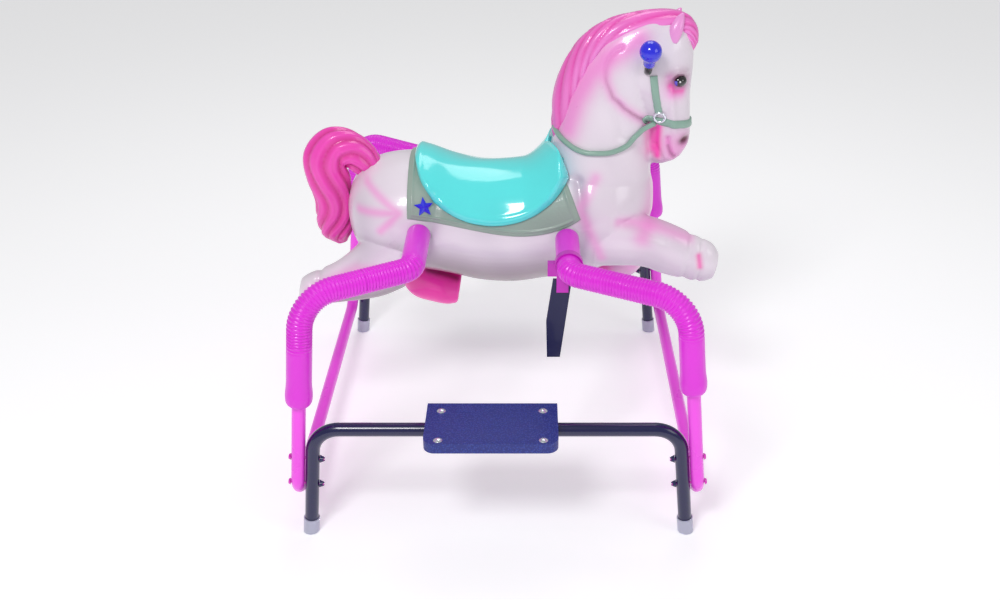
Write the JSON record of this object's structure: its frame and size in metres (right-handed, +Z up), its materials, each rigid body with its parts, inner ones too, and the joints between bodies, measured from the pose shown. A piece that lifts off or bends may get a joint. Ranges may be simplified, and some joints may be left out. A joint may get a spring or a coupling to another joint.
{
  "type": "rocking horse",
  "caption": "Moulded spring rocking horse with saddle and handles, hung by sleeved corner springs from a bent-tube stand with side steps.",
  "frame": {"origin": "centre of the bounding box in plan, on the floor under the feet", "axes": "+X forward, the way the horse faces; +Y to the horse's left; +Z up"},
  "size_m": [0.9034, 1.001, 0.9738],
  "materials": {
    "navy_tube": "gloss",
    "pink_tube": "gloss",
    "clear_cap": "satin",
    "black_plastic": "satin",
    "pink_bolt": "gloss",
    "navy_nut": "gloss",
    "step_grip": "speckled",
    "zinc": "bright",
    "spring_steel": "oiled",
    "sleeve": "ribbed",
    "bar": "satin",
    "rest_clamp": "satin",
    "foot_rest": "satin",
    "bush": "satin",
    "pearl": "pearl",
    "ear_pink": "pearl",
    "hair": "gloss",
    "aqua": "gloss",
    "blanket": "satin",
    "blue_trim": "gloss",
    "eye": "gloss",
    "strap": "satin",
    "rod_black": "gloss"
  },
  "bodies": {
    "stand": {"rail_right": "navy_tube", "rail_left": "navy_tube", "frame_rear": "pink_tube", "frame_front": "pink_tube", "foot_caps": "clear_cap", "post_plugs": "black_plastic", "frame_bolts": "pink_bolt", "wing_nuts": "navy_nut", "step_plates": "step_grip", "step_clamps": "black_plastic", "step_bolts": "zinc", "sleeve_front_right": "sleeve", "sleeve_front_left": "sleeve", "sleeve_rear_right": "sleeve", "sleeve_rear_left": "sleeve", "springs_front": "spring_steel", "springs_rear": "spring_steel"},
    "front_carrier": {"bar_front": "bar", "bar_plugs_front": "black_plastic", "rest_clamps": "rest_clamp", "foot_rests": "foot_rest"},
    "horse": {"bar_rear": "bar", "bar_plugs_rear": "black_plastic", "bushes": "bush", "torso": "pearl", "neck_head": "pearl", "ears": "ear_pink", "mane": "hair", "tail": "hair", "foreleg_right": "pearl", "foreleg_left": "pearl", "hindleg_right": "pearl", "hindleg_left": "pearl", "saddle": "aqua", "blanket": "blanket", "stars": "blue_trim", "eyes": "eye", "bridle": "strap", "bridle_rings": "zinc", "rein": "strap", "handle_rod": "rod_black", "handle_grips": "blue_trim", "sleeve_inner_right": "sleeve", "sleeve_inner_left": "sleeve"}
  },
  "joints": [
    {"name": "bounce", "type": "slide", "parent": "stand", "child": "front_carrier", "axis": [0, 0, 1], "range_m": [-0.06, 0.04], "stiffness_N_per_m": 4000, "springref_m": 0.02, "deforming": ["sleeve_front_right", "sleeve_front_left", "sleeve_rear_right", "sleeve_rear_left", "springs_front", "springs_rear"]},
    {"name": "rock", "type": "hinge", "parent": "front_carrier", "child": "horse", "pos_m": [0.127, 0, 0.53], "axis": [0, 1, 0], "range_deg": [-8, 8], "stiffness_Nm_per_rad": 190, "springref_deg": 2.86, "deforming": ["sleeve_inner_right", "sleeve_inner_left"]}
  ]
}
